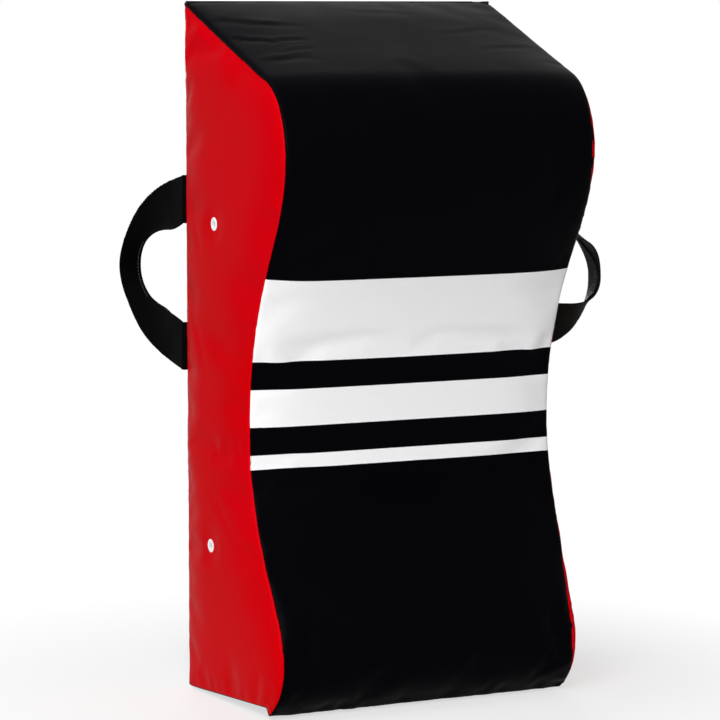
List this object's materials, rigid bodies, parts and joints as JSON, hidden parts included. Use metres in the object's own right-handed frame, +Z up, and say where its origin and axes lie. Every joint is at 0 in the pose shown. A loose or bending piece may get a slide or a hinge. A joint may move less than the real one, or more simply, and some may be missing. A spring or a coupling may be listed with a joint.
{
  "type": "tackle shield",
  "caption": "Padded tackle shield with a sloping head, full brow, hollow waist and flat base, in a sewn cover with hand loops and a zip at the back.",
  "frame": {"origin": "centre of the flat base, where the shield stands on the floor", "axes": "+Z up, -Y out of the struck front face, +X to the right when the front is faced"},
  "size_m": [0.5365, 0.3906, 0.75],
  "materials": {
    "black_vinyl": "glossy coated cloth",
    "red_vinyl": "glossy coated cloth",
    "patch_vinyl": "coated cloth",
    "soft_foam": "open-cell foam",
    "firm_foam": "closed-cell foam",
    "webbing": "flat woven webbing",
    "nickel": "nickel plated",
    "zip_tape": "woven tape",
    "zip_teeth": "moulded",
    "zip_metal": "black plated"
  },
  "bodies": {
    "shield": {"front_panel": "black_vinyl", "left_side_panel": "red_vinyl", "right_side_panel": "red_vinyl", "base_panel": "black_vinyl", "back_panel_upper": "black_vinyl", "back_panel_lower": "black_vinyl", "impact_foam": "soft_foam", "backing_foam": "firm_foam", "left_upper_strap_anchor": "webbing", "left_lower_strap_anchor": "webbing", "right_upper_strap_anchor": "webbing", "right_lower_strap_anchor": "webbing", "left_strap_patch": "patch_vinyl", "right_strap_patch": "patch_vinyl", "zip_tape_upper": "zip_tape", "zip_tape_lower": "zip_tape", "zip_teeth_upper": "zip_teeth", "zip_teeth_lower": "zip_teeth", "zip_left_stop": "zip_teeth", "zip_right_stop": "zip_teeth", "left_upper_eyelet": "nickel", "left_upper_washer": "nickel", "left_lower_eyelet": "nickel", "left_lower_washer": "nickel", "right_upper_eyelet": "nickel", "right_upper_washer": "nickel", "right_lower_eyelet": "nickel", "right_lower_washer": "nickel"},
    "left_loop": {"left_handle_loop": "webbing"},
    "right_loop": {"right_handle_loop": "webbing"},
    "slider": {"zip_slider": "zip_metal"},
    "pull": {"zip_pull": "zip_metal"}
  },
  "joints": [
    {"name": "left_loop_swing", "type": "hinge", "parent": "shield", "child": "left_loop", "pos_m": [-0.18808, 0.0985, 0.457], "axis": [0, 0, -1], "range_deg": [-165, 68]},
    {"name": "right_loop_swing", "type": "hinge", "parent": "shield", "child": "right_loop", "pos_m": [0.18808, 0.0985, 0.457], "axis": [0, 0, 1], "range_deg": [-72, 162]},
    {"name": "zip_slide", "type": "slide", "parent": "shield", "child": "slider", "axis": [-1, 0, 0], "range_m": [0, 0.3148]},
    {"name": "pull_swing", "type": "hinge", "parent": "slider", "child": "pull", "pos_m": [0.15748, 0.10103, 0.078], "axis": [1, 0, 0], "range_deg": [-5, 180]}
  ]
}
